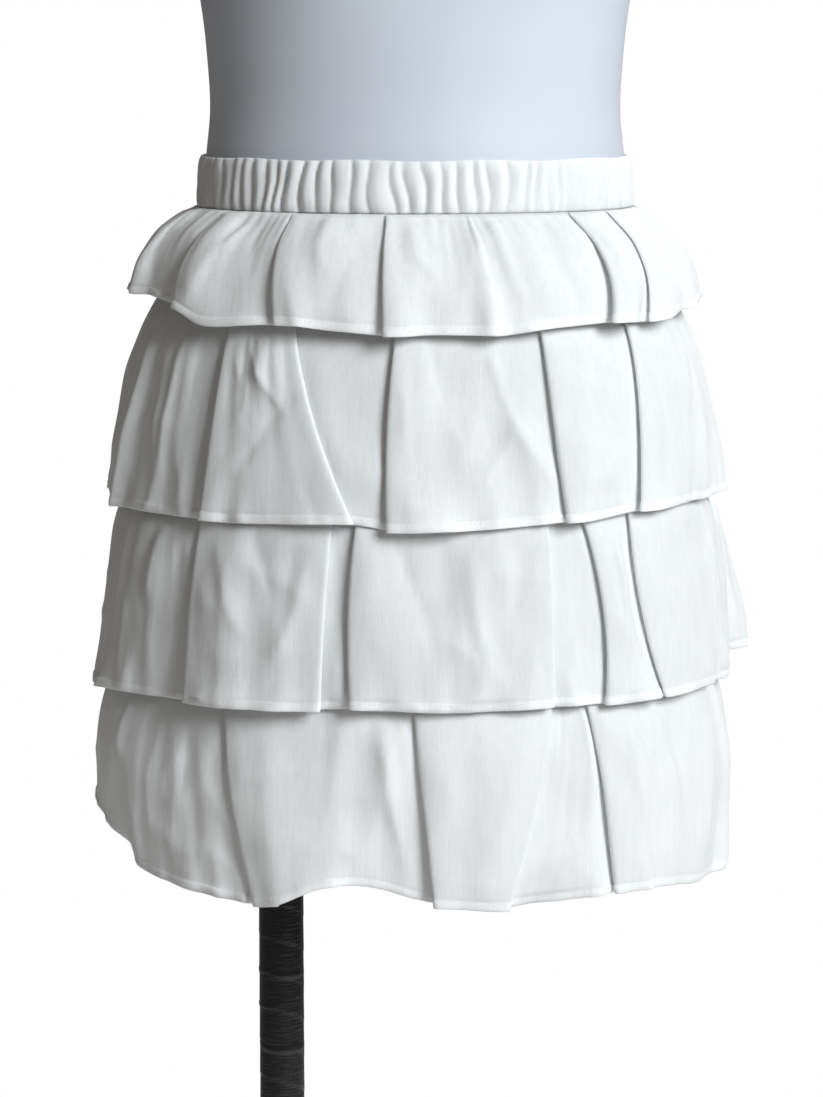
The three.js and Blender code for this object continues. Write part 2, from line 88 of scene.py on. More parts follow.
UNDERSKIRT_HEM = (264, 157, 117.5)  # drop, half width, half depth
UNDERSKIRT_GRID = (40, 90)  # rows and columns
SHORTS_SEAT = (154.6, 116.3)
SHORTS_SEAT_DROPS = (264, 400)  # between these the seat keeps its size
SHORTS_GRID = (70, 96)
LEG = {"middle": 76, "width": 72, "depth": 98, "start": 215, "closed": 303, "hem": 345}

# Each tier: its seam and hem below the waist, how far the hem drops at the side seams, and its sections from
# seam to hem as (share of the way down, half width, half depth).
TIERS = [
    {"seam": 28.3, "hem": 86, "left": -11, "right": -8,
     "sections": [(0, 122.5, 91.5), (0.3, 143, 108), (0.65, 155, 116), (1, 160, 119)]},
    {"seam": 64, "hem": 189, "left": -1, "right": -4,
     "sections": [(0, 135.5, 100), (0.3, 155, 112), (0.65, 166, 120.5), (1, 172, 126.5)]},
    {"seam": 165, "hem": 288, "left": 7, "right": 1,
     "sections": [(0, 155.2, 116.5), (0.3, 168, 122.5), (0.65, 175, 127.5), (1, 178, 130.5)]},
    {"seam": 264, "hem": 391, "left": -34, "right": 10,
     "sections": [(0, 158.7, 119.2), (0.25, 172, 124.5), (0.6, 178, 130), (1, 178, 131.5)]},
]

# Folds, a row each: kind, angle at the seam, angle at the hem, sideways bow in degrees, width, height and
# how much lower the hem is there. They are the same folds as the solids have.
FRONT_FOLDS = [
    [("ridge", -72, -68, 0, 9, 9, -13), ("lap_right", -54, -52, 0, 8, 7, -8),
     ("crest", -46, -45, 0, 0, 8, 2), ("lap_right", -31, -27, 0, 11, 6, -1),
     ("lap_right", -7, -6, 0, 11, 7, 4), ("crest", 3, 2, 0, 0, 1, 3), ("ridge", 13, 15, 0, 10, 5, 4),
     ("crest", 23, 26, 0, 0, 1, 1), ("lap_right", 41, 39, 1, 12, 8, -1),
     ("lap_right", 56, 50, 0, 8, 5, 0), ("ridge", 76, 70, 0, 9, 5, -5)],
    [("ridge", -63, -70, 0, 9, 9, 1), ("lap_right", -41, -41, 1, 12, 6, 1),
     ("lap_left", -27, -10.5, -1, 10, 6, -1), ("lap_right", -3, -5, -1, 12, 7, 3),
     ("crest", 8, 10, 0, 0, 1, 3), ("lap_right", 26, 27, -1, 10, 7, 0),
     ("lap_right", 49, 43, 0, 9, 6, -3), ("ridge", 76, 68, 0, 10, 4, -4)],
    [("crest", -66, -66, 0, 0, 6, 2), ("lap_right", -43, -43, 0, 11, 6, 1),
     ("lap_left", -15, -16, 0, 9, 6, 0), ("lap_right", -10, -11, -1, 10, 7, -2),
     ("crest", 4, 6, 0, 0, 2, 0), ("lap_left", 25, 24, 0, 9, 5, -1), ("lap_right", 30, 34, 2, 9, 6, 0),
     ("lap_right", 45, 48, -4, 9, 6, 0), ("ridge", 72, 74, 0, 10, 4, 0)],
    [("crest", -70, -71, 0, 0, 4, -23), ("crest", -58, -59, 0, 0, 3, -3),
     ("lap_right", -37, -28, -1, 12, 8, 5), ("crest", -18, -16, 0, 0, 5, -10),
     ("crest", -9, -8, 0, 0, 1, -9), ("lap_right", -1, 3, 0, 9, 7, 2), ("lap_left", 27, 16, 0, 8, 7, 5),
     ("lap_right", 31, 36, 0, 9, 7, 1), ("crest", 45, 48, 0, 0, 7, 1), ("crest", 59, 62, 0, 0, 2, 8),
     ("ridge", 74, 75, 0, 10, 5, 6)],
]
BACK_FOLDS = [
    [("ridge", 106, 109, 0, 10, 7, 1), ("lap_right", 127, 130, 0, 10, 6, -2),
     ("lap_left", 156, 152, 0, 9, 6, 2), ("lap_right", 176, 179, 0, 11, 7, 1),
     ("ridge", 201, 199, 0, 10, 5, 4), ("lap_left", 228, 224, 0, 10, 7, 0),
     ("ridge", 250, 252, 0, 10, 8, -9)],
    [("ridge", 110, 107, 0, 10, 5, -2), ("lap_left", 138, 134, 0, 11, 7, 1),
     ("lap_right", 160, 163, -1, 10, 6, 3), ("lap_right", 190, 187, 0, 12, 7, 0),
     ("lap_left", 219, 223, 1, 9, 6, -1), ("ridge", 246, 250, 0, 11, 7, 2)],
    [("ridge", 99, 101, 0, 16, 19, -6), ("lap_right", 133, 137, 0, 10, 6, 1),
     ("lap_left", 168, 165, 1, 11, 7, -2), ("lap_right", 196, 201, 0, 10, 7, 2),
     ("lap_left", 234, 230, 0, 10, 6, 0), ("ridge", 254, 251, 0, 9, 6, 3)],
    [("ridge", 108, 104, 0, 11, 5, 4), ("lap_left", 132, 129, 0, 10, 7, -3),
     ("lap_right", 154, 158, 1, 11, 8, 2), ("crest", 172, 174, 0, 0, 1, -4),
     ("lap_left", 205, 200, 0, 10, 7, 3), ("lap_right", 226, 230, 0, 10, 7, -8),
     ("crest", 250, 252, 0, 0, 4, -30)],
]
# The corners of each kind of fold: widths along from its edge, and heights out.
FOLD_STEPS = {
    "lap_right": [(0, 0), (1, 0), (1, 0.5), (0, 0.5), (0, 1), (1, 1)],
    "lap_left": [(-1, 1), (0, 1), (0, 0.5), (-1, 0.5), (-1, 0), (0, 0)],
    "ridge": [(-1, 0), (0, 1), (1, 0)],
    "crest": [(0, 1)],
}
SEAM_LAP = 3  # a lap's width and height at the seam
SEAM_RISE = 3.4
LAP_OPENING = 0.7  # below 1 a fold opens soon after the seam
RIDGE_OPENING = 0.8

# Creases pressed into the cloth, a row each: where it starts and ends as (angle, share of the way down), its
# height out of the cloth (negative is a valley), and its width.
FRONT_CREASES = [
    [((-43, 0.15), (-49, 0.9), 1.6, 4), ((-38, 0.1), (-35, 0.6), -1.2, 3),
     ((-22, 0.05), (-18, 0.5), 1.2, 4), ((-13, 0.1), (-16, 0.75), -1.1, 4),
     ((-2, 0.1), (5, 0.55), 1.3, 4), ((9, 0.05), (7, 0.7), -1.2, 3), ((17, 0.1), (22, 0.8), 1.2, 4),
     ((29, 0.05), (33, 0.9), -1.5, 4), ((46, 0.1), (45, 0.9), 1.4, 4), ((62, 0.1), (57, 0.9), 1.5, 4),
     ((69, 0.1), (64, 0.8), -1.2, 4)],
    [((-52, 0.2), (-56, 0.95), 1.6, 5), ((-36, 0.2), (-24, 0.55), 1.3, 4),
     ((-33, 0.75), (-22, 0.45), -1.3, 4), ((-20, 0.25), (-13, 0.95), 1.6, 4),
     ((2, 0.15), (6, 0.6), -1.1, 5), ((14, 0.2), (21, 0.75), 1.4, 4), ((11, 0.85), (19, 0.55), 1.1, 5),
     ((34, 0.2), (31, 0.9), 1.2, 5), ((56, 0.2), (51, 0.9), -1.4, 5), ((70, 0.2), (60, 0.85), 1.3, 5)],
    [((-53, 0.25), (-57, 0.6), 1.5, 4), ((-47, 0.3), (-49, 0.95), -1.2, 4),
     ((-38, 0.3), (-30, 0.7), 1.2, 5), ((-30, 0.2), (-25, 0.6), -1.3, 4),
     ((-24, 0.8), (-19, 0.35), 1.3, 4), ((-3, 0.25), (3, 0.75), -1.2, 5), ((9, 0.3), (13, 0.85), 1.3, 4),
     ((20, 0.25), (16, 0.65), -1.1, 4), ((38, 0.25), (41, 0.9), 1.2, 3), ((58, 0.3), (62, 0.9), -1.2, 5)],
    [((-63, 0.2), (-64, 0.6), 1.2, 4), ((-46, 0.15), (-44, 0.6), -1, 5), ((-27, 0.3), (-23, 0.9), 1.2, 5),
     ((-6, 0.2), (-2, 0.9), 1.4, 4), ((9, 0.2), (8, 0.7), -1.4, 5), ((22, 0.15), (13, 0.8), 1.1, 4),
     ((40, 0.1), (43, 0.8), 1.3, 4), ((52, 0.3), (56, 0.85), -1.4, 5), ((66, 0.2), (64, 0.9), 1.1, 5)],
]
BACK_CREASES = [
    [((98, 0.1), (100, 0.8), 1.3, 4), ((118, 0.1), (116, 0.8), -1.2, 4), ((143, 0.1), (146, 0.6), 1.2, 4),
     ((168, 0.1), (164, 0.8), 1.4, 4), ((190, 0.1), (192, 0.7), -1.3, 4),
     ((214, 0.1), (210, 0.8), 1.3, 4), ((240, 0.1), (243, 0.7), -1.2, 4)],
    [((96, 0.2), (99, 0.9), -1.3, 5), ((122, 0.2), (127, 0.7), 1.5, 4), ((147, 0.3), (152, 0.9), -1.2, 5),
     ((176, 0.2), (171, 0.6), 1.3, 4), ((202, 0.2), (208, 0.8), 1.4, 5),
     ((233, 0.25), (238, 0.9), -1.3, 5), ((258, 0.2), (260, 0.8), 1.2, 5)],
    [((118, 0.3), (122, 0.9), 1.3, 4), ((148, 0.25), (153, 0.7), -1.3, 5),
     ((178, 0.3), (184, 0.95), 1.4, 4), ((190, 0.75), (196, 0.4), 1.1, 4),
     ((213, 0.3), (218, 0.8), -1.2, 5), ((242, 0.3), (244, 0.9), 1.3, 4)],
    [((96, 0.2), (94, 0.8), 1.2, 5), ((118, 0.2), (121, 0.9), -1.3, 5), ((142, 0.2), (146, 0.7), 1.4, 4),
     ((165, 0.2), (168, 0.9), 1.2, 5), ((186, 0.2), (190, 0.7), -1.3, 5),
     ((214, 0.3), (216, 0.9), 1.3, 4), ((240, 0.2), (243, 0.7), -1.2, 5)],
]


# ---- Small tools ----
def smooth(low, high, x):
    t = np.clip((x - low) / (high - low), 0, 1)
    return t * t * (3 - 2 * t)


def curve(keys, values, at):
    """A smooth curve through a table that doesn't overshoot between its rows."""
    keys, values, at = (np.asarray(v, float) for v in (keys, values, at))
    if keys[0] > keys[-1]:
        keys, values = keys[::-1], values[::-1]
    steps = np.diff(values) / np.diff(keys)
    before, after = steps[:-1], steps[1:]
    inner = np.where(before * after > 0, 2 * before * after / (before + after + 1e-12), 0)
    slopes = np.concatenate([[steps[0]], inner, [steps[-1]]])
    i = np.clip(np.searchsorted(keys, at) - 1, 0, len(keys) - 2)
    width = keys[i + 1] - keys[i]
    t = (at - keys[i]) / width
    start = (1 + 2 * t) * (1 - t) ** 2 * values[i] + t * (1 - t) ** 2 * width * slopes[i]
    end = t * t * (3 - 2 * t) * values[i + 1] + t * t * (t - 1) * width * slopes[i + 1]
    return start + end


def blurred(values, spread, axis):
    """A Gaussian blur along one axis, with the ends repeated."""
    reach = int(3 * spread) + 1
    weights = np.exp(-0.5 * (np.arange(-reach, reach + 1) / spread) ** 2)
    weights /= weights.sum()
    values = np.moveaxis(values, axis, 0)
    ends = [values[:1]] * reach, [values[-1:]] * reach
    padded = np.concatenate([*ends[0], values, *ends[1]])
    total = sum(w * padded[k:k + len(values)] for k, w in enumerate(weights))
    return np.moveaxis(total, 0, axis)


def crumple(shape, row_spread, column_spread, seed):
    """A random field of unit size, drawn out down the cloth by its spreads in rows and columns."""
    field = np.random.default_rng(seed).normal(size=shape)
    field = blurred(blurred(field, row_spread, 0), column_spread, 1)
    return field / (field.std() + 1e-9)


def ring(width, depth, angle, drop):
    """Points on an oval ring, in millimetres."""
    a = np.radians(angle)
    return np.stack([width * np.sin(a), -depth * np.cos(a), WAIST - drop + 0 * a], axis=-1)


def normals_of(grid):
    across = np.gradient(grid, axis=1)
    down = np.gradient(grid, axis=0)
    normal = np.cross(down, across)
    return normal / (np.linalg.norm(normal, axis=-1, keepdims=True) + 1e-9)


def shade_smooth(mesh):
    mesh.polygons.foreach_set("use_smooth", np.ones(len(mesh.polygons), bool))


def link_piece(name, mesh, material):
    """A smooth shaded object from a mesh, riding on the object's one body."""
    shade_smooth(mesh)
    mesh.materials.append(material)
    piece = bpy.data.objects.new(name, mesh)
    bpy.context.scene.collection.objects.link(piece)
    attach(piece, "root")
    return piece


def ring_faces(rows, columns):
    """The faces between closed rings of points, and the rings' point numbers."""
    index = np.arange(rows * columns).reshape(rows, columns)
    turned = np.roll(index, -1, axis=1)
    return np.stack([index[:-1], turned[:-1], turned[1:], index[1:]], -1).reshape(-1, 4).tolist(), index


def add_mesh(name, points, faces, material):
    """A piece from points in millimetres and faces of one kind."""
    mesh = bpy.data.meshes.new(name)
    mesh.from_pydata((np.asarray(points).reshape(-1, 3) * MM).tolist(), [], np.asarray(faces).tolist())
    mesh.validate()
    return link_piece(name, mesh, material)


def cloth_sheet(name, grid, thickness, material):
    """A closed thin shell on a grid of points, with a thickness for each row."""
    rows, columns = grid.shape[:2]
    away = normals_of(grid) * np.asarray(thickness)[:, None, None] / 2
    points = np.concatenate([(grid + away).reshape(-1, 3), (grid - away).reshape(-1, 3)])
    outer = np.arange(rows * columns).reshape(rows, columns)
    inner = outer + rows * columns
    faces = [np.stack([outer[:-1, :-1], outer[1:, :-1], outer[1:, 1:], outer[:-1, 1:]], -1).reshape(-1, 4),
             np.stack([inner[:-1, 1:], inner[1:, 1:], inner[1:, :-1], inner[:-1, :-1]], -1).reshape(-1, 4)]
    for edge_out, edge_in in ((outer[0], inner[0]), (outer[-1][::-1], inner[-1][::-1]),
                              (outer[:, 0][::-1], inner[:, 0][::-1]), (outer[:, -1], inner[:, -1])):
        faces.append(np.stack([edge_in[:-1], edge_out[:-1], edge_out[1:], edge_in[1:]], -1))
    return add_mesh(name, points, np.concatenate(faces), material)


# ---- The tiers ----
def fold_chain(tier, folds, start, end, side_drops, down):
    """The chain of fold corners, and the strip's half widths and half depths, down the rows.
    A corner holds its angle, how far out it stands, how much lower the hem is there and its lap, if any."""
    shares, widths, depths = zip(*tier["sections"])
    width, depth = curve(shares, widths, down), curve(shares, depths, down)
    stops = [(start + 0 * down, 0 * down, side_drops[0], None)]
    for kind, top, hem, bow, reach, height, drop in folds:
        edge = top + (hem - top) * down + bow * 4 * down * (1 - down)
        lapped = kind.startswith("lap")
        under = SEAM_LAP + (reach - SEAM_LAP) * down ** LAP_OPENING
        rise = height * down ** RIDGE_OPENING
        if lapped:
            rise = SEAM_RISE + (height - SEAM_RISE) * down
        a = np.radians(edge)
        degree = np.degrees(1 / np.hypot(width * np.cos(a), depth * np.sin(a)))
        lap = (kind, hem) if lapped else None
        stops += [(edge + along * under * degree, out * rise, drop, lap) for along, out in FOLD_STEPS[kind]]
    stops.append((end + 0 * down, 0 * down, side_drops[1], None))
    return stops, width, depth


def strip_grid(tier, folds, start, end, side_drops):
    """The folded strip as a grid of points, with each point's angle and each row's share of the way down.
    The last array is each column's freedom to crumple: 1 in the open and 0 inside a fold."""
    length = tier["hem"] - tier["seam"]
    hem_rows = (length - np.array([HEM_DEPTH + 0.9, HEM_DEPTH + 0.3, HEM_DEPTH - 0.3, 2.4, 0.5, 0])) / length
    down = np.concatenate([np.linspace(0, hem_rows[0], round(length / ROW), endpoint=False), hem_rows])
    stops, width, depth = fold_chain(tier, folds, start, end, side_drops, down)
    angles, outs, drops, open_cloth = [], [], [], []
    for (angle_a, out_a, drop_a, lap_a), (angle_b, out_b, drop_b, lap_b) in zip(stops, stops[1:]):
        across = math.radians(abs(angle_b[-1] - angle_a[-1])) * (width[-1] + depth[-1]) / 2
        pieces = max(3, round(math.hypot(across, out_b[-1] - out_a[-1]) / COLUMN))
        for share in np.arange(pieces) / pieces:
            angles.append(angle_a + (angle_b - angle_a) * share)
            outs.append(out_a + (out_b - out_a) * share)
            drops.append(drop_a + (drop_b - drop_a) * share)
            open_cloth.append(0.0 if lap_a and lap_a == lap_b else 1.0)
    angles.append(stops[-1][0])
    outs.append(stops[-1][1])
    drops.append(stops[-1][2])
    open_cloth.append(1.0)
    angle, out = np.array(angles).T, np.array(outs).T
    drops = np.array(drops)
    near_ends = smooth(0, END_COLUMNS, np.minimum(np.arange(len(drops)), np.arange(len(drops))[::-1]))
    hem = tier["hem"] + drops + (blurred(drops[None], 4, 1)[0] - drops) * near_ends
    drop = tier["seam"] + down[:, None] * (hem - tier["seam"])[None, :]
    grid = ring(width[:, None] + out, depth[:, None] + out, angle, drop)
    ends = grid[:, :1].copy(), grid[:, -1:].copy()
    grid = blurred(grid, 1.5, 1)
    grid[:, :1], grid[:, -1:] = ends
    return grid, angle, down, blurred(np.array(open_cloth)[None], 2, 1)


def gather_profile(s, closest, widest, seed):
    """From 0 at the sharp valleys between gathers to 1 on their round tops, along lengths s."""
    valleys = np.cumsum(np.random.default_rng(seed).uniform(closest, widest, 160)) - widest
    nearest = np.abs(s[..., None] - valleys).min(-1)
    return 1 - np.exp(-nearest / (0.22 * widest))


def crease_field(creases, angle, down, length, radius):
    """How far the pressed creases stand out at each point of a strip."""
    total = np.zeros(angle.shape)
    for (angle_a, down_a), (angle_b, down_b), height, spread in creases:
        along = np.array([math.radians(angle_b - angle_a) * radius, (down_b - down_a) * length])
        x = np.radians(angle - angle_a) * radius
        y = (down[:, None] - down_a) * length + 0 * x
        reach = np.hypot(*along)
        t = (x * along[0] + y * along[1]) / reach ** 2
        wobble = 1.5 * np.sin(5 * t + height * 4)
        away = np.abs((x * along[1] - y * along[0]) / reach + wobble)
        taper = smooth(-0.12, 0.2, t) * (1 - smooth(0.7, 1.12, t))
        total += height * np.exp(-away / spread) * taper
    return total


def tier_strip(number, half, folds, creases, start, end, side_drops, seed):
    tier = TIERS[number]
    length = tier["hem"] - tier["seam"]
    grid, angle, down, open_cloth = strip_grid(tier, folds, start, end, side_drops)
    shape = grid.shape[:2]
    drop = down * length
    free = smooth(0.12, 0.4, down)[:, None]
    if number == 0:
        free = smooth(0, 0.1, down)[:, None]
    ends = np.minimum(np.arange(shape[1]), np.arange(shape[1])[::-1])
    loose = smooth(0, END_COLUMNS, ends)[None, :] * (0.1 + 0.9 * open_cloth)
    lengths = np.arange(shape[1]) * COLUMN
    sway = 2.2 * np.sin(drop[:, None] / 31 + lengths / 40)
    fine = crumple(shape, 9, 1, seed + 1)
    middling = crumple(shape, 13, 2.8, seed + 2)
    broad = crumple(shape, 11, 11, seed + 3)
    ridged = 0.8 - np.abs(crumple(shape, 8, 4.2, seed + 4))
    slanting = 0.8 - np.abs(crumple(shape, 5, 7, seed + 5))
    pressed = 2 * crease_field(creases, angle, down, length, TIER_RADIUS)
    height = (0.2 * fine + 0.6 * middling + 1.4 * broad + 1.4 * ridged + 1.2 * slanting + pressed) * free
    if number == 0:
        gathers = gather_profile(lengths + sway, 4.5, 10, seed)
        fading = np.exp(-drop / 19)[:, None] * smooth(-0.02, 0.07, down)[:, None]
        height = 0.8 * height + 2.4 * gathers * fading
    else:
        gathers = gather_profile(lengths + sway, 9, 21, seed)
        height = height + 1.5 * gathers * free * np.exp(-(drop - 22).clip(0) / 34)[:, None]
    height = np.where(height < 0, 0.6 * height, height) * loose
    grid = grid + normals_of(grid) * blurred(height, 0.8, 1)[..., None]
    thickness = np.where(drop < length - HEM_DEPTH - 0.1, CLOTH, HEM_THICKNESS)
    thickness[-1] = 0.5 * HEM_THICKNESS
    name = f"tier_{number + 1}_{half}"
    panel = cloth_sheet(name + "_cloth", grid, thickness, COTTON)
    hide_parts(name)
    stitches = stitch_row(name + "_stitches", grid[-4] * 0.6 + grid[-3] * 0.4, normals_of(grid)[-4])


def stitch_row(name, line, normal):
    """Small thread stitches along a line on the cloth."""
    stitch, pitch, width = 2.0, 2.9, 0.3
    end_height, side_height, crown = 0.45, 0.5, 0.75
    lengths = np.concatenate([[0], np.cumsum(np.linalg.norm(np.diff(line, axis=0), axis=1))])
    starts = np.arange(3, lengths[-1] - 4, pitch)

    def at(values, s):
        return np.stack([np.interp(s, lengths, values[:, k]) for k in range(3)], -1)

    a, b = at(line, starts), at(line, starts + stitch)
    n = at(normal, starts + stitch / 2)
    up = np.cross(n, b - a)
    up *= width / (np.linalg.norm(up, axis=1, keepdims=True) + 1e-9)
    middle = (a + b) / 2
    corners = np.stack([a + n * end_height, b + n * end_height, middle + up + n * side_height,
                        middle - up + n * side_height, middle + n * crown], 1)
    first = 5 * np.arange(len(starts))[:, None]
    faces = [first + np.array(f) for f in ((0, 4, 2), (2, 4, 1), (1, 4, 3), (3, 4, 0), (0, 2, 1), (0, 1, 3))]
    return add_mesh(name, corners, np.concatenate(faces), THREAD)


# ---- The waistband ----
def waistband_half(half, start, end, seed):
    """A gathered casing: uneven gathers, deepest at its edges, that swell between them."""
    columns = round(math.radians(end - start) * BAND_RADIUS / BAND_COLUMN)
    rows = BAND_ROWS
    share = np.linspace(0, 1, columns)
    s = share * BAND_CUT
    down = np.linspace(0, 1, rows)
    moved = s + 1.5 * np.sin(down[:, None] * 2.4 + s / 23) + 0.9 * np.sin(down[:, None] * 5 + s / 7)
    gathers = gather_profile(moved, 5.5, 12.5, seed)
    deep = 0.8 + 0.2 * np.sin(s / 17 + 3 * down[:, None])
    height = 3.5 * (1 - deep * (1 - gathers)) + 0.3 * crumple((rows, columns), 6, 3, seed + 1)
    swell = 1 - 0.55 * np.abs(2 * down - 1) ** 5
    height = np.clip(height * swell[:, None], 0.2, 3.7)
    width = curve(FORM[:, 0], FORM[:, 1], down * BAND_HEIGHT) + BAND_OUT
    depth = curve(FORM[:, 0], FORM[:, 2], down * BAND_HEIGHT) + BAND_OUT
    ends = np.minimum(np.arange(columns), np.arange(columns)[::-1])
    height = height * smooth(-2, 6, ends)[None, :]
    edge = 0.5 * np.sin(s / 11) + 0.7 * (height[0] / 3 - 0.6)
    drop = down[:, None] * BAND_HEIGHT - edge[None, :] * (1 - down[:, None]) * 0.8
    angle = (start + (end - start) * share)[None, :]
    grid = ring(width[:, None] + height, depth[:, None] + height, angle, drop)
    name = f"waistband_{half}"
    band = cloth_sheet(name + "_cloth", grid, np.full(rows, 0.5), COTTON)
    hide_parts(name)


# ---- The hidden layers ----
def underskirt_half(half, start, end):
    rows, columns = UNDERSKIRT_GRID
    down = np.linspace(BAND_SEAM, UNDERSKIRT_HEM[0], rows)
    drops = np.append(FORM[2:7, 0], UNDERSKIRT_HEM[0])
    width = curve(*sorted_table(drops, np.append(FORM[2:7, 1] + UNDERSKIRT_OUT, UNDERSKIRT_HEM[1])), down)
    depth = curve(*sorted_table(drops, np.append(FORM[2:7, 2] + UNDERSKIRT_OUT, UNDERSKIRT_HEM[2])), down)
    angle = np.linspace(start, end, columns)
    grid = ring(width[:, None], depth[:, None], angle[None, :], down[:, None] + 0 * angle)
    name = f"underskirt_{half}"
    layer = cloth_sheet(name + "_cloth", grid, np.full(len(down), CLOTH), COTTON)
    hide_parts(name)


def sorted_table(keys, values):
    order = np.argsort(keys)
    return np.asarray(keys)[order], np.asarray(values)[order]


def shorts_side(side, sign):
    """One leg's cloth, from the middle front round the outside to the middle back, closing round the leg."""
    rows, columns = SHORTS_GRID
    down = np.linspace(BAND_SEAM, LEG["hem"], rows)
    drops = np.append(FORM[2:7, 0], SHORTS_SEAT_DROPS)
    width = curve(*sorted_table(drops, np.append(FORM[2:7, 1] + SHORTS_OUT, [SHORTS_SEAT[0]] * 2)), down)
    depth = curve(*sorted_table(drops, np.append(FORM[2:7, 2] + SHORTS_OUT, [SHORTS_SEAT[1]] * 2)), down)
    angle = np.linspace(0, 180, columns)
    seat = ring(width[:, None], depth[:, None], angle[None, :], down[:, None] + 0 * angle)
    turn = np.radians(2 * angle - 90)
    leg = seat.copy()
    leg[..., 0] = LEG["middle"] + LEG["width"] * np.sin(turn)[None, :]
    leg[..., 1] = -LEG["depth"] * np.cos(turn)[None, :]
    split = smooth(LEG["start"] + 30, LEG["closed"], down)[:, None, None]
    grid = seat + (leg - seat) * split
    grid[..., 0] = np.maximum(grid[..., 0], 0.3)
    grid[:, 0, 1] = np.minimum(grid[:, 0, 1], -0.3)
    grid[:, -1, 1] = np.maximum(grid[:, -1, 1], 0.3)
    grid[..., 0] *= sign
    if sign < 0:
        grid = grid[:, ::-1]
    name = f"shorts_{side}"
    layer = cloth_sheet(name + "_cloth", grid, np.full(len(down), CLOTH), COTTON)
    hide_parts(name)


# ---- The form and its stand ----
FORM_SIDES = 160
BASE_SIDES = 160
POLE_ROW = 1.3  # spacing of the rows that carry the tape's wrinkles


def form_shell():
    """The smooth limbless form, as rings from its underside to its neck."""
    drop = np.concatenate([[258], np.linspace(257.5, 245, 10), np.linspace(240, -320, 130),
                           np.linspace(-323, -457, 70), [-458]])
    angle = np.arange(FORM_SIDES) * 360 / FORM_SIDES
    width = curve(FORM[:, 0], FORM[:, 1], drop)[:, None]
    front = curve(FORM[:, 0], FORM[:, 2], drop)[:, None]
    back = curve(FORM[:, 0], FORM[:, 3], drop)[:, None]
    blend = (1 + np.cos(np.radians(angle)))[None, :] / 2
    side = smooth(0.35, 0.65, blend)
    points = ring(width, back + (front - back) * side, angle[None, :], drop[:, None] + 0 * angle)
    across = (np.abs(points[..., 0]) - BUST["side"]) / BUST["spread_x"]
    along = (drop[:, None] - BUST["drop"]) / BUST["spread_z"]
    facing = smooth(0, 0.5, np.cos(np.radians(angle)))[None, :]
    points[..., 1] -= BUST["reach"] * np.exp(-across ** 2 - along ** 2) * facing
    faces, index = ring_faces(*points.shape[:2])
    faces += [index[0][::-1].tolist(), index[-1].tolist()]
    mesh = bpy.data.meshes.new("form_shell")
    mesh.from_pydata((points.reshape(-1, 3) * MM).tolist(), [], faces)
    piece = link_piece("form_shell", mesh, FORM_MATERIAL)
    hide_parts("form")


def turned_piece(name, node, profile, x, material, segments=96, roughen=None):
    """A turned solid from a profile of (radius, height) pairs that starts and ends on the axis or closes."""
    profile = np.asarray(profile, float)
    angle = np.arange(segments) * 2 * math.pi / segments
    radius = profile[:, :1] + 0 * angle
    height = profile[:, 1:] + 0 * angle
    if roughen:
        radius = radius + roughen(angle[None, :], height)
    points = np.stack([x + radius * np.cos(angle), radius * np.sin(angle), height], -1)
    faces, index = ring_faces(*points.shape[:2])
    if np.allclose(profile[0], profile[-1]):
        last, first = index[-1], index[0]
        faces += np.stack([last, np.roll(last, -1), np.roll(first, -1), first], -1).tolist()
    else:
        faces += [index[0][::-1].tolist(), index[-1].tolist()]
    mesh = bpy.data.meshes.new(name)
    mesh.from_pydata((points.reshape(-1, 3) * MM).tolist(), [], faces)
    piece = link_piece(name, mesh, material)
    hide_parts(node)


def rounded_ring(inside, outside, low, high, bevel):
    """A collar's closed profile with rounded outer corners."""
    corner = np.radians(np.linspace(0, 90, 5))
    bottom = [(outside - bevel + bevel * math.sin(a), low + bevel - bevel * math.cos(a)) for a in corner]
    top = [(outside - bevel + bevel * math.cos(a), high - bevel + bevel * math.sin(a)) for a in corner]
    return [(inside, low), *bottom, *top, (inside, high), (inside, low + 0.01)]


def tape_wraps(angle, height):
    """The tape's slanting overlaps and wrinkles on the pole."""
    turns = (height + 3 * np.sin(angle)) / 21 + angle / (2 * math.pi)
    lap = turns - np.floor(turns)
    overlap = 0.35 * smooth(0, 0.06, lap) * (1 - 0.6 * lap)
    rng = np.random.default_rng(5)
    wrinkles = 0
    for _ in range(26):
        low = rng.uniform(height.min(), height.max())
        slant = rng.uniform(-5, 7)
        around = rng.uniform(0, 2 * math.pi)
        line = height - low - slant * np.cos(angle - around)
        near = np.exp(-((np.mod(angle - around + math.pi, 2 * math.pi) - math.pi) / 1.1) ** 2)
        wrinkles = wrinkles + 0.5 * np.exp(-(line / 1.1) ** 2) * near
    return overlap + wrinkles - 0.4


# ---- Materials ----
def new_material(name, colour, roughness):
    material = bpy.data.materials.new(name)
    material.use_nodes = True
    shader = material.node_tree.nodes["Principled BSDF"]
    shader.inputs["Base Color"].default_value = (*colour, 1)
    shader.inputs["Roughness"].default_value = roughness
    return material, material.node_tree, shader


def noise(tree, scale, stretch, detail=3.0, rough=0.6):
    """Noise on the object's own coordinates, in metres, stretched by a scale along each axis."""
    place = tree.nodes.new("ShaderNodeTexCoord")
    mapping = tree.nodes.new("ShaderNodeMapping")
    mapping.inputs["Scale"].default_value = stretch
    texture = tree.nodes.new("ShaderNodeTexNoise")
    texture.inputs["Scale"].default_value = scale
    texture.inputs["Detail"].default_value = detail
    texture.inputs["Roughness"].default_value = rough
    tree.links.new(place.outputs["Object"], mapping.inputs["Vector"])
    tree.links.new(mapping.outputs["Vector"], texture.inputs["Vector"])
    return texture.outputs["Fac"]


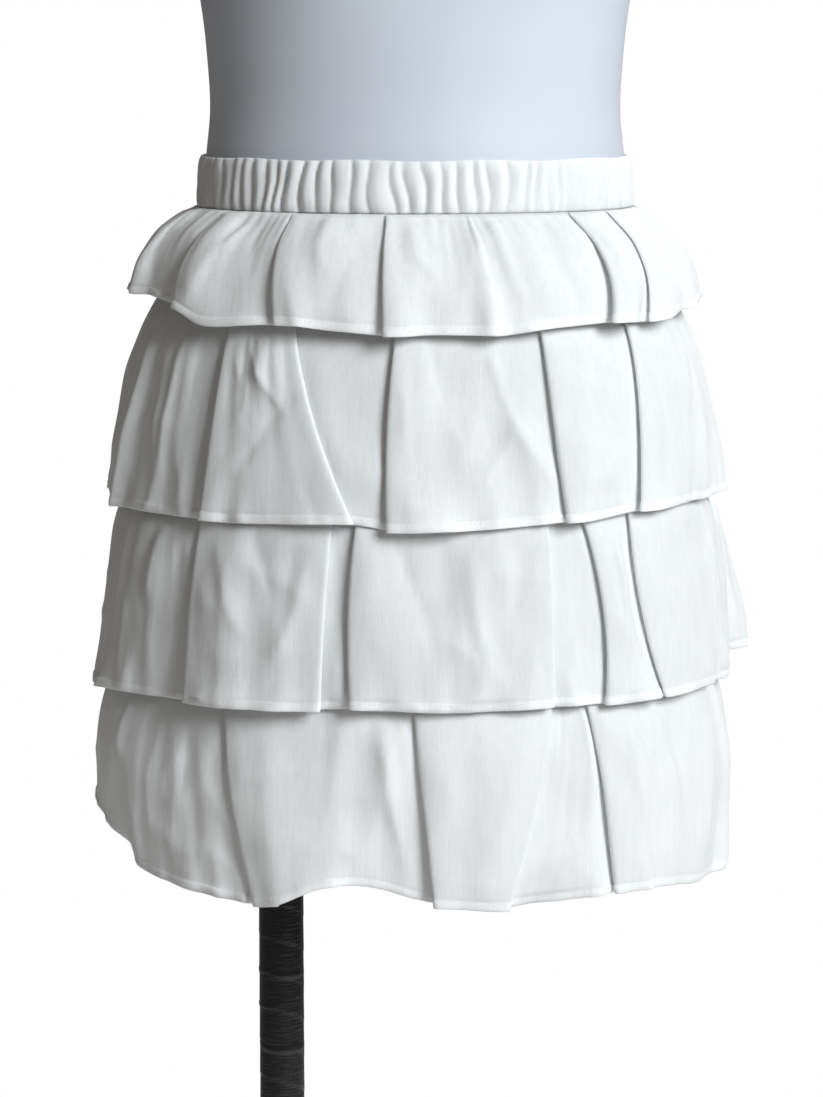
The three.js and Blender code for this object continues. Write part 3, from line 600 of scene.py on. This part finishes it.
def ramp(tree, value, stops):
    """Colours along a value: stops are (place, colour) pairs."""
    node = tree.nodes.new("ShaderNodeValToRGB")
    elements = node.color_ramp.elements
    while len(elements) < len(stops):
        elements.new(0.5)
    for element, (place, colour) in zip(elements, stops):
        element.position = place
        element.color = (*colour, 1)
    tree.links.new(value, node.inputs["Fac"])
    return node.outputs["Color"]


def bump(tree, shader, heights):
    """Chains (height, distance in metres, strength) bumps into the shader's normal."""
    before = None
    for height, distance, strength in heights:
        node = tree.nodes.new("ShaderNodeBump")
        node.inputs["Distance"].default_value = distance
        node.inputs["Strength"].default_value = strength
        tree.links.new(height, node.inputs["Height"])
        if before:
            tree.links.new(before, node.inputs["Normal"])
        before = node.outputs["Normal"]
    tree.links.new(before, shader.inputs["Normal"])


def cotton_material():
    """Thin white cotton: slubbed threads both ways, faint streaks and a soft sheen."""
    material, tree, shader = new_material("white_cotton", (0.86, 0.88, 0.9), 0.75)
    streaks = noise(tree, 60, (6, 6, 0.7), detail=4)
    colour = ramp(tree, streaks, [(0.3, (0.87, 0.88, 0.885)), (0.55, (0.91, 0.915, 0.92)),
                                  (0.8, (0.945, 0.95, 0.955))])
    tree.links.new(colour, shader.inputs["Base Color"])
    shader.inputs["Sheen Weight"].default_value = 0.1
    shader.inputs["Subsurface Weight"].default_value = 0.4
    shader.inputs["Subsurface Radius"].default_value = (1, 1, 1)
    shader.inputs["Subsurface Scale"].default_value = 0.004
    shader.inputs["Specular IOR Level"].default_value = 0.3
    warp = noise(tree, 300, (8, 8, 0.5), detail=2)
    weft = noise(tree, 300, (0.6, 0.6, 9), detail=2)
    crinkle = noise(tree, 90, (4, 4, 0.6), detail=3)
    bump(tree, shader, [(warp, 0.0002, 0.4), (weft, 0.00015, 0.35), (crinkle, 0.0004, 0.45)])
    return material


def thread_material():
    material, tree, shader = new_material("white_thread", (0.8, 0.81, 0.83), 0.6)
    twist = noise(tree, 1500, (1, 1, 1), detail=1)
    bump(tree, shader, [(twist, 0.0001, 0.4)])
    return material


def form_material():
    """The form's satin skin: pale lilac grey with faint stains and a fine tooth."""
    material, tree, shader = new_material("form_skin", (0.62, 0.645, 0.7), 0.5)
    stains = noise(tree, 7, (1, 1, 1), detail=2, rough=0.5)
    colour = ramp(tree, stains, [(0.35, (0.6, 0.635, 0.69)), (0.55, (0.585, 0.615, 0.675)),
                                 (0.7, (0.52, 0.505, 0.655))])
    tree.links.new(colour, shader.inputs["Base Color"])
    shader.inputs["Specular IOR Level"].default_value = 0.35
    tooth = noise(tree, 900, (1, 1, 1), detail=2)
    ripple = noise(tree, 14, (1, 1, 1), detail=2)
    bump(tree, shader, [(tooth, 0.0001, 0.25), (ripple, 0.002, 0.12)])
    return material


def tape_material():
    material, tree, shader = new_material("black_tape", (0.012, 0.011, 0.012), 0.22)
    scuffs = noise(tree, 160, (1, 1, 5), detail=5, rough=0.7)
    roughness = ramp(tree, scuffs, [(0.35, (0.08, 0.08, 0.08)), (0.7, (0.26, 0.26, 0.26))])
    tree.links.new(roughness, shader.inputs["Roughness"])
    wrinkles = noise(tree, 120, (0.7, 0.7, 5), detail=4)
    bump(tree, shader, [(wrinkles, 0.0005, 0.5)])
    return material


def steel_material():
    material, tree, shader = new_material("black_painted_steel", (0.02, 0.02, 0.022), 0.4)
    grain = noise(tree, 700, (1, 1, 1), detail=3)
    wear = noise(tree, 9, (1, 1, 1), detail=5)
    worn = ramp(tree, wear, [(0.4, (0.34, 0.34, 0.34)), (0.7, (0.52, 0.52, 0.52))])
    tree.links.new(worn, shader.inputs["Roughness"])
    bump(tree, shader, [(grain, 0.0002, 0.3)])
    return material


COTTON = cotton_material()
THREAD = thread_material()
FORM_MATERIAL = form_material()
TAPE = tape_material()
STEEL = steel_material()


# ---- Build ----
SIDE = math.degrees(SEAM_GAP / 2 / SEAM_RADIUS)
FRONT = (-90 + SIDE, 90 - SIDE)
BACK = (90 + SIDE, 270 - SIDE)
waistband_half("front", *FRONT, seed=11)
waistband_half("back", *BACK, seed=23)
for number, tier in enumerate(TIERS):
    left, right = tier["left"], tier["right"]
    folds, creases = FRONT_FOLDS[number], FRONT_CREASES[number]
    tier_strip(number, "front", folds, creases, *FRONT, (left, right), seed=100 + number)
    folds, creases = BACK_FOLDS[number], BACK_CREASES[number]
    tier_strip(number, "back", folds, creases, *BACK, (right, left), seed=200 + number)
underskirt_half("front", *FRONT)
underskirt_half("back", *BACK)
shorts_side("left", 1)
shorts_side("right", -1)
form_shell()

pole_foot, pole_top = POLE_LOW.z, POLE_HIGH.z
pole_radius = (POLE_HIGH.x - POLE_LOW.x) / 2
pole_rows = [(pole_radius, z) for z in np.arange(pole_foot, pole_top, POLE_ROW)]
turned_piece("pole_tape", "pole", pole_rows, POLE_X, TAPE, roughen=tape_wraps)
for node in ("form_socket", "base_socket"):
    low, high = (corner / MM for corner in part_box(node))
    ring_profile = rounded_ring(pole_radius + SEAM_GAP, (high.x - low.x) / 2, low.z, high.z, 2)
    turned_piece(node + "_collar", node, ring_profile, POLE_X, STEEL)
base_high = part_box("base")[1] / MM
base_radius = base_high.x
base_profile = [(0.01, 0), (base_radius - 1, 0), (base_radius, 1), (base_radius, base_high.z - 2),
                (base_radius - 0.6, base_high.z - 0.6), (base_radius - 2, base_high.z),
                (base_radius - 3, base_high.z), (0.01, base_high.z)]
turned_piece("base_disc", "base", base_profile, 0, STEEL, segments=BASE_SIDES)


# ---- Stage, light and camera ----
ROOM_LIGHT = (0.155, 0.147, 0.136)
LIGHT_AIM = 180  # depth below the waist that the lights point at
CAMERA_AIM = 221
CAMERA_DISTANCE = 1.8  # metres
CAMERA_ELEVATION = 9
CAMERA_SIDEWAYS = -0.002  # metres
LENS = 104.5


def stage():
    bpy.ops.mesh.primitive_circle_add(vertices=96, radius=1.1, fill_type="NGON", location=(0, 0, -0.0005))
    floor = bpy.context.object
    floor.name = "floor"
    material = new_material("pale_floor", (0.85, 0.85, 0.86), 0.7)[0]
    floor.data.materials.append(material)


def world():
    """White where the camera looks past the object, and a dimmer room for the light."""
    made = bpy.data.worlds.new("studio")
    bpy.context.scene.world = made
    made.use_nodes = True
    tree = made.node_tree
    background = tree.nodes["Background"]
    path = tree.nodes.new("ShaderNodeLightPath")
    mix = tree.nodes.new("ShaderNodeMix")
    mix.data_type = "RGBA"
    mix.inputs["A"].default_value = (*ROOM_LIGHT, 1)
    mix.inputs["B"].default_value = (1, 1, 1, 1)
    tree.links.new(path.outputs["Is Camera Ray"], mix.inputs["Factor"])
    tree.links.new(mix.outputs["Result"], background.inputs["Color"])


def area_light(name, azimuth, elevation, distance, size, power, colour):
    a, e = math.radians(azimuth), math.radians(elevation)
    target = Vector((0, 0, (WAIST - LIGHT_AIM) * MM))
    offset = Vector((math.sin(a) * math.cos(e), -math.cos(a) * math.cos(e), math.sin(e))) * distance
    light = bpy.data.lights.new(name, "AREA")
    light.shape = "DISK"
    light.size = size
    light.energy = power
    light.color = colour
    lamp = bpy.data.objects.new(name, light)
    lamp.location = target + offset
    lamp.rotation_euler = (-offset).to_track_quat("-Z", "Y").to_euler()
    bpy.context.scene.collection.objects.link(lamp)


def camera():
    """A long lens level with the waist, looking slightly down."""
    elevation = math.radians(CAMERA_ELEVATION)
    target = Vector((CAMERA_SIDEWAYS, 0, (WAIST - CAMERA_AIM) * MM))
    data = bpy.data.cameras.new("camera")
    data.lens = LENS
    data.sensor_width = 36
    data.clip_start = 0.05
    piece = bpy.data.objects.new("camera", data)
    offset = Vector((0, -math.cos(elevation), math.sin(elevation))) * CAMERA_DISTANCE
    piece.location = target + offset
    piece.rotation_euler = (-offset).to_track_quat("-Z", "Y").to_euler()
    bpy.context.scene.collection.objects.link(piece)
    bpy.context.scene.camera = piece


stage()
world()
area_light("window", 39, 25, 2.6, 1.2, 74, (0.93, 0.975, 1))
area_light("rear", 152, 30, 3, 1.6, 34, (1, 0.99, 0.97))
camera()
bpy.context.scene.view_settings.view_transform = "Standard"
